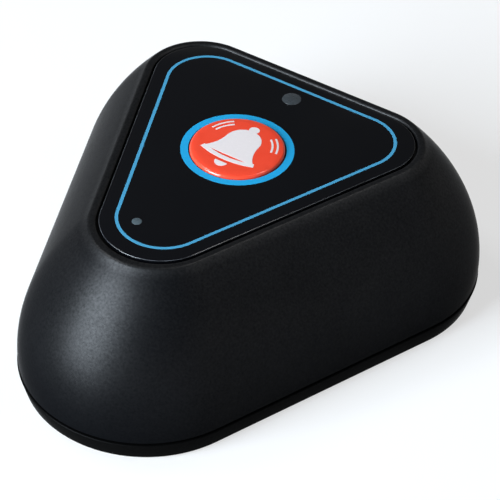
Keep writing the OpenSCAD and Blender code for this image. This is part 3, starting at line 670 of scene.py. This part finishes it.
panel_profile = [(0, panel_low.z)] + edge_arc((-PANEL_EASE, RIM - PANEL_EASE), PANEL_EASE, 0, 90, 4)
panel_piece = new_piece("face_panel_sheet", sheet(panel_profile), panel_black)
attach(panel_piece, "housing")
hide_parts("face_panel")

# ---- Adhesive film -----------------------------------------------------------------------------
# A double-sided film that holds the panel down in its recess. It is die-cut a little smaller than
# the panel, with wider holes, so that none of it shows.

FILM_INSET = 0.5
adhesive, shader, place = new_material("adhesive_film", {"Specular IOR Level": 0.3})
bubbles = place.noise(0.8, detail=3)
drive(shader, base_color=bubbles.blend(colour(196, 196, 184), colour(220, 220, 208)),
      roughness=0.5 + 0.2 * bubbles, normal=bubbles.bump(0.02))
film_profile = [(-FILM_INSET, RECESS), (-FILM_INSET, panel_low.z)]
film_piece = new_piece("adhesive_sheet", sheet(film_profile, FILM_INSET), adhesive)
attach(film_piece, "housing")
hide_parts("panel_adhesive")

# ---- Printed line and ring ---------------------------------------------------------------------
# Two prints in blue on the panel: a line that follows its outline, set slightly off centre as on
# the real one, and a ring round the key. Each is a thin film of ink, bedded in the panel.

INK = 0.02               # how far the ink stands out of the surface, and how far it is bedded in it
line_plan = Plan(far=20.83, side=16.15, apex_radius=7.8, corner_radius=7.34)
LINE_HALF = 0.28
RING_OUT, RING_IN = 9.8, KEY_HOLE + 0.02
RING_STEPS = 128


def ink(name, tone, roughness=0.2):
    """Screen ink: even, with a very slight mottle and a dull gloss."""
    made, shader, place = new_material(name, {"Specular IOR Level": 0.4})
    mottle = place.noise(0.5, detail=2)
    drive(shader, base_color=mottle.blend(shade(tone, 0.93), tone),
          roughness=roughness - 0.03 + 0.06 * mottle, normal=mottle.bump(0.001))
    return made


def printed_loop(outer, inner, row):
    """A closed line of ink, from the rows of points that its section's corners follow."""
    bm = bmesh.new()
    section = [(outer, RIM - INK), (outer, RIM + INK), (inner, RIM + INK), (inner, RIM - INK),
               (outer, RIM - INK)]
    loft(bm, [row(*corner) for corner in section])
    bmesh.ops.remove_doubles(bm, verts=bm.verts, dist=MERGE)
    return bm


def ring_row(radius, height):
    """The points of a fine circle round the key."""
    return circle(KEY_AXIS, radius, height, RING_STEPS)


line_bm = printed_loop(LINE_HALF, -LINE_HALF, line_plan.row)
line_piece = new_piece("printed_line", line_bm, ink("line_blue", colour(71, 149, 186)))
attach(line_piece, "housing")

ring_bm = printed_loop(RING_OUT, RING_IN, ring_row)
ring_piece = new_piece("printed_ring", ring_bm, ink("ring_blue", colour(35, 155, 206)))
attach(ring_piece, "housing")

# ---- Light windows -----------------------------------------------------------------------------
# Two rods of smoke-grey acrylic that lead the lamps' light up to the panel. They end flush with
# it, and a shoulder under the roof holds them in.


def smoked(name, tone):
    """Smoke-grey acrylic with a faint haze."""
    made, shader, place = new_material(name, {"Specular IOR Level": 0.35})
    haze = place.noise(0.9, detail=2)
    drive(shader, base_color=haze.blend(tone, shade(tone, 1.3)), roughness=0.24 + 0.08 * haze,
          normal=haze.bump(0.002))
    return made


SHOULDER_THICK = 1
WINDOW_EASE = 0.06
for node, tone in (("window_large", colour(51, 55, 58)), ("window_small", colour(69, 80, 85))):
    low, high = frame_box(node)
    shoulder = (high.x - low.x) / 2
    rod = shoulder - WINDOW_SHOULDER
    profile = [(rod, low.z), (rod, ROOF - SHOULDER_THICK), (shoulder, ROOF - SHOULDER_THICK),
               (shoulder, ROOF), (rod, ROOF)]
    profile += edge_arc((rod - WINDOW_EASE, RIM - WINDOW_EASE), WINDOW_EASE, 0, 90, 3)
    bm = bmesh.new()
    rings = loft(bm, [circle((low + high) / 2, *row, ROUND_STEPS) for row in profile])
    fill(bm, rings[0])
    fill(bm, rings[-1])
    window_piece = new_piece(node + "_rod", bm, smoked(node + "_grey", tone))
    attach(window_piece, "housing")
    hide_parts(node)

# ---- Key ---------------------------------------------------------------------------------------
# The one key: a round cap of orange-red plastic with a gently crowned top and a soft edge. A
# flange under the roof keeps it in, and a ribbed post in its middle presses the switch.

plunger_top = frame_box("switch_plunger")[1].z
KEY_ROUND = 0.5
KEY_CROWN = 0.15
DOME_SHARE = 0.3         # of the crown; the shoulder has the rest
SHOULDER_POWER = 14      # the higher it is, the nearer to the edge the shoulder falls
TOP_STEPS = 28
KEY_SHOULDER = key_high.z - KEY_CROWN
KEY_WALL = 1.4
FLAT_RADIUS = KEY_RADIUS - KEY_ROUND
KEY_INSIDE, KEY_UNDER = KEY_RADIUS - KEY_WALL, KEY_SHOULDER - KEY_WALL
FLANGE_RADIUS, FLANGE_THICK = KEY_RADIUS + FLANGE_PAST, 1.2
FLANGE_ROOM = 0.1        # between the flange and the roof
FLANGE_LOW = ROOF - FLANGE_ROOM - FLANGE_THICK
GUIDE_ROOM = 0.25        # on each side of a guide, in the flange's notch
PRESS_RADIUS = 2.2       # of the post that presses the switch
RIB_BITE = 0.3           # how far a rib runs into the post and into the cap's wall
RIB_PAST = 0.01          # how far it runs past its height at each end, so that no faces coincide
RIB_WIDE, RIB_HIGH = 1.2, KEY_UNDER - FLANGE_LOW
WRINKLE_SIZE, WRINKLE_DEPTH = 1.6, 0.07   # the moulded top is a little wavy, most of all near its edge
EDGE_ZONE, CALM = 0.6, 0.15               # where that starts inside the wall, and what the middle has


def crown_height(distance):
    """Height of the key's top at a distance from its axis: a slight dome with a soft shoulder."""
    share = distance / FLAT_RADIUS
    fall = DOME_SHARE * share ** 2 + (1 - DOME_SHARE) * share ** SHOULDER_POWER
    return KEY_SHOULDER + KEY_CROWN * (1 - fall)


def turned(bm, profile, angle=FULL_TURN, start=0.0, steps=ROUND_STEPS, closed=False):
    """Spins a profile of radius and height round the key's axis, from a start angle."""
    chain = [bm.verts.new((r * math.cos(start), r * math.sin(start), z)) for r, z in profile]
    links = [bm.edges.new(pair) for pair in zip(chain, chain[1:] + chain[:1] if closed else chain[1:])]
    geometry = chain + links
    if closed:
        geometry.append(bm.faces.new(chain))
    bmesh.ops.spin(bm, geom=geometry, cent=(0, 0, 0), axis=(0, 0, 1), angle=angle, steps=steps,
                   use_merge=angle == FULL_TURN)


key_red, shader, place = new_material("key_red", {"Specular IOR Level": 0.5})
flow = place.noise(6, detail=2)
apart = place.distance((*KEY_AXIS, KEY_SHOULDER))
near_edge = apart.ramp(KEY_INSIDE - EDGE_ZONE, FLAT_RADIUS)
wrinkle = place.noise(WRINKLE_SIZE, detail=1) * (CALM + near_edge)
drive(shader, base_color=flow.blend(colour(224, 63, 38), colour(232, 76, 53)),
      roughness=0.15 + 0.06 * flow, normal=wrinkle.bump(WRINKLE_DEPTH))

bm = bmesh.new()
radii = [FLAT_RADIUS * math.sqrt(k / TOP_STEPS) for k in range(TOP_STEPS)]
top = [(radius, crown_height(radius)) for radius in radii]
brow = edge_arc((FLAT_RADIUS, KEY_SHOULDER - KEY_ROUND), KEY_ROUND, 90, 0, 10)
cap_profile = top + brow + [
    (KEY_RADIUS, FLANGE_LOW + FLANGE_THICK / 2), (KEY_INSIDE, FLANGE_LOW + FLANGE_THICK / 2),
    (KEY_INSIDE, KEY_UNDER), (PRESS_RADIUS, KEY_UNDER), (PRESS_RADIUS, plunger_top),
    (0, plunger_top)]
turned(bm, cap_profile)
notch = math.asin((GUIDE_WIDE / 2 + GUIDE_ROOM) / KEY_HOLE)
flange_profile = [(KEY_INSIDE, FLANGE_LOW), (FLANGE_RADIUS, FLANGE_LOW),
                  (FLANGE_RADIUS, FLANGE_LOW + FLANGE_THICK), (KEY_INSIDE, FLANGE_LOW + FLANGE_THICK)]
for start in (notch, math.pi + notch):
    turned(bm, flange_profile, math.pi - 2 * notch, start, 48, closed=True)
rib_long = KEY_INSIDE - PRESS_RADIUS + 2 * RIB_BITE
rib_middle = (KEY_INSIDE + PRESS_RADIUS) / 2, 0, FLANGE_LOW + RIB_HIGH / 2
for quarter in range(4):
    turn = Matrix.Rotation(math.radians(45 + 90 * quarter), 4, "Z")
    size = Matrix.Diagonal((rib_long, RIB_WIDE, RIB_HIGH + 2 * RIB_PAST, 1))
    bmesh.ops.create_cube(bm, size=1, matrix=turn @ Matrix.Translation(rib_middle) @ size)
bmesh.ops.remove_doubles(bm, verts=bm.verts, dist=MERGE)
bmesh.ops.translate(bm, vec=KEY_AXIS.to_3d(), verts=bm.verts)
key_piece = new_piece("key_moulding", bm, key_red)
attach(key_piece, "key")
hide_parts("key_cap")

# ---- Bell printed on the key -------------------------------------------------------------------
# A plain bell sign in white ink on the key: dome and flared skirt, a bar for its lip, a clapper,
# a knob, and two short arcs of sound on each side. It follows the key's crown.

BELL_WAIST, BELL_LIP = 3.2, 5.1       # half widths at the dome and at the end of the skirt
DOME_MIDDLE, SKIRT_END = 1.7, -3
LIP_MIDDLE, LIP_RADIUS, LIP_WIDE = 10.2, 14.15, 0.9
LIP_FROM, LIP_TO = 248.5, 291.5
KNOB_MIDDLE, KNOB_RADIUS = 5.3, 0.95
CLAPPER_MIDDLE, CLAPPER_RADIUS = -5.05, 1.2
SOUND_MIDDLE, SOUND_RADII, SOUND_WIDE = 0.4, (5.8, 6.7), 0.34
SOUND_FROM, SOUND_TO = 14, 50
FLAT_TILE = 1            # the ink is cut this small, so that it can follow the crown


def bell_half(bm):
    """Right half of the bell's outline, spun as two arcs, then filled across to its middle line."""
    top = bm.verts.new((0, DOME_MIDDLE + BELL_WAIST, 0))
    dome = bmesh.ops.spin(bm, geom=[top], cent=(0, DOME_MIDDLE, 0), axis=(0, 0, -1),
                          angle=math.pi / 2, steps=16)
    end = [g for g in dome["geom_last"] if isinstance(g, bmesh.types.BMVert)]
    drop, spread = DOME_MIDDLE - SKIRT_END, BELL_LIP - BELL_WAIST
    turn = 2 * math.atan2(spread, drop)
    flare = drop / math.sin(turn)
    bmesh.ops.spin(bm, geom=end, cent=(BELL_WAIST + flare, DOME_MIDDLE, 0), axis=(0, 0, 1),
                   angle=turn, steps=14)
    pulled = bmesh.ops.extrude_edge_only(bm, edges=bm.edges[:])["geom"]
    for vert in pulled:
        if isinstance(vert, bmesh.types.BMVert):
            vert.co.x = 0
    bmesh.ops.remove_doubles(bm, verts=bm.verts, dist=MERGE)


def stroke(bm, centre, radius, width, first, last, steps=16):
    """An arc of ink: a short radial edge, spun from one angle to another, in degrees."""
    out = direction(math.radians(first))
    reaches = radius - width / 2, radius + width / 2
    ends = [bm.verts.new((*(Vector(centre) + out * reach), 0)) for reach in reaches]
    edge = bm.edges.new(ends)
    bmesh.ops.spin(bm, geom=ends + [edge], cent=(*centre, 0), axis=(0, 0, 1),
                   angle=math.radians(last - first), steps=steps)


def disc(bm, centre, radius):
    """A filled round of ink."""
    bmesh.ops.create_circle(bm, segments=32, radius=radius, cap_ends=True,
                            matrix=Matrix.Translation((*centre, 0)))


bm = bmesh.new()
bell_half(bm)
bmesh.ops.mirror(bm, geom=bm.verts[:] + bm.edges[:] + bm.faces[:], axis="X", merge_dist=MERGE)
stroke(bm, (0, LIP_MIDDLE), LIP_RADIUS, LIP_WIDE, LIP_FROM, LIP_TO, 24)
disc(bm, (0, KNOB_MIDDLE), KNOB_RADIUS)
stroke(bm, (0, CLAPPER_MIDDLE), CLAPPER_RADIUS / 2, CLAPPER_RADIUS, 180, 360)
for radius in SOUND_RADII:
    stroke(bm, (0, SOUND_MIDDLE), radius, SOUND_WIDE, SOUND_FROM, SOUND_TO)
    stroke(bm, (0, SOUND_MIDDLE), radius, SOUND_WIDE, 180 - SOUND_TO, 180 - SOUND_FROM)
for k in range(-6, 7):
    for normal in ((1, 0, 0), (0, 1, 0)):
        bmesh.ops.bisect_plane(bm, geom=bm.verts[:] + bm.edges[:] + bm.faces[:],
                               plane_co=(k * FLAT_TILE, k * FLAT_TILE, 0), plane_no=normal)
bmesh.ops.dissolve_degenerate(bm, edges=bm.edges[:], dist=1e-4)
for vert in bm.verts:
    vert.co.z = crown_height(vert.co.xy.length) - INK
bmesh.ops.recalc_face_normals(bm, faces=bm.faces)
lifted = bmesh.ops.extrude_face_region(bm, geom=bm.faces[:], use_keep_orig=True)["geom"]
upper_side = [g for g in lifted if isinstance(g, bmesh.types.BMVert)]
bmesh.ops.translate(bm, vec=(0, 0, 2 * INK), verts=upper_side)
bmesh.ops.translate(bm, vec=KEY_AXIS.to_3d(), verts=bm.verts)
bell_piece = new_piece("printed_bell", bm, ink("bell_white", colour(223, 214, 212), 0.26))
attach(bell_piece, "key")

# ---- Table, backdrop, light and camera ---------------------------------------------------------
# A pale table in white surroundings. A large cool lamp beyond the apex lays the soft sheen on that
# corner, and three weaker ones higher up light the top. The camera looks down at the apex.

FLOOR_TONE, FLOOR_GLOW = 0.35, 0.6    # the glow shows, but lights nothing
GLOSS_SHARE = 0.65                    # how much of the table's glow shows in glossy surfaces
FLOOR_RADIUS = 6 / MM
SKY_FILL = 0.06                       # strength of the surroundings' own light on the object
SKY_LOW, SKY_HIGH = 0.04, 0.5         # heights between which the white surroundings fade
SKY_DARK = 0.08


def showing(tree, gloss_share=1):
    """How much a background shows to a ray: to the camera's, to gloss, and through clear things."""
    rays = tree.nodes.new("ShaderNodeLightPath").outputs
    camera_ray, glossy_ray, clear_ray = (
        Wire(tree, rays[f"Is {kind} Ray"]) for kind in ("Camera", "Glossy", "Transmission"))
    return camera_ray + gloss_share * glossy_ray + clear_ray


def empty_tree(owner, output_kind):
    """The owner's node tree with nothing but an output in it."""
    owner.use_nodes = True
    owner.node_tree.nodes.clear()
    return owner.node_tree, owner.node_tree.nodes.new(output_kind)


floor_material = bpy.data.materials.new("table_white")
tree, output = empty_tree(floor_material, "ShaderNodeOutputMaterial")
matt = tree.nodes.new("ShaderNodeBsdfDiffuse")
matt.inputs["Color"].default_value = (FLOOR_TONE, FLOOR_TONE, FLOOR_TONE, 1)
glow = tree.nodes.new("ShaderNodeEmission")
glow.inputs["Color"].default_value = (1, 1, 1, 1)
tree.links.new((FLOOR_GLOW * showing(tree, GLOSS_SHARE)).socket, glow.inputs["Strength"])
both = tree.nodes.new("ShaderNodeAddShader")
tree.links.new(matt.outputs[0], both.inputs[0])
tree.links.new(glow.outputs[0], both.inputs[1])
tree.links.new(both.outputs[0], output.inputs["Surface"])

bm = bmesh.new()
bmesh.ops.create_circle(bm, segments=64, radius=FLOOR_RADIUS, cap_ends=True)
floor = new_piece("table", bm, floor_material)

world = bpy.data.worlds.new("surround")
bpy.context.scene.world = world
tree, output = empty_tree(world, "ShaderNodeOutputWorld")
sky = tree.nodes.new("ShaderNodeBackground")
around = Wire(tree, tree.nodes.new("ShaderNodeTexCoord").outputs["Generated"])
fade = {"Value": around.part("Z"), "From Min": SKY_LOW, "From Max": SKY_HIGH,
        "To Min": 1, "To Max": SKY_DARK}
white = around.node("ShaderNodeMapRange", {"interpolation_type": "SMOOTHSTEP"}, fade)
shown = showing(tree)
tree.links.new((shown * white + (1 - shown) * SKY_FILL).socket, sky.inputs["Strength"])
tree.links.new(sky.outputs[0], output.inputs["Surface"])

LAMP_AIM = Vector((0, 0, 0.015))
COOL, NEUTRAL, WARM = (0.8, 0.9, 1), (0.96, 0.98, 1), (1, 0.98, 0.96)


def soft_lamp(name, place, size, watts, tone, lean=0.0):
    """A rectangular area lamp that faces the object, and leans sideways by that many degrees."""
    data = bpy.data.lights.new(name, "AREA")
    data.shape = "RECTANGLE"
    data.size, data.size_y = size
    data.energy = watts
    data.color = tone
    lamp = bpy.data.objects.new(name, data)
    lamp.visible_camera = False
    bpy.context.scene.collection.objects.link(lamp)
    lamp.location = place
    facing = (LAMP_AIM - Vector(place)).to_track_quat("-Z", "Y").to_matrix()
    lamp.rotation_euler = (facing @ Matrix.Rotation(math.radians(lean), 3, "Z")).to_euler()


soft_lamp("apex_side", (-0.288, -0.699, 0.306), (0.42, 0.6), 20.9, COOL, lean=6)
soft_lamp("over_left", (-0.451, -0.071, 0.732), (0.36, 0.11), 1.35, NEUTRAL)
soft_lamp("overhead", (0.081, 0.35, 0.785), (0.26, 0.075), 0.74, WARM)
soft_lamp("right_side", (0.602, 0.207, 0.651), (0.6, 0.35), 0.72, NEUTRAL)

CAMERA_AT = Vector((149.48, -233.09, 253.58)) * MM
CAMERA_AIM = Vector((9.515, -3.682, 20)) * MM
CAMERA_ROLL = math.radians(2.383)
camera_data = bpy.data.cameras.new("camera")
camera_data.sensor_width = 36
camera_data.lens = 150.81
camera_data.clip_start = 0.01
camera = bpy.data.objects.new("camera", camera_data)
bpy.context.scene.collection.objects.link(camera)
look = (CAMERA_AIM - CAMERA_AT).to_track_quat("-Z", "Y").to_matrix()
turned_look = (look @ Matrix.Rotation(CAMERA_ROLL, 3, "Z")).to_4x4()
camera.matrix_world = Matrix.Translation(CAMERA_AT) @ turned_look
bpy.context.scene.camera = camera
bpy.context.scene.view_settings.view_transform = "Standard"
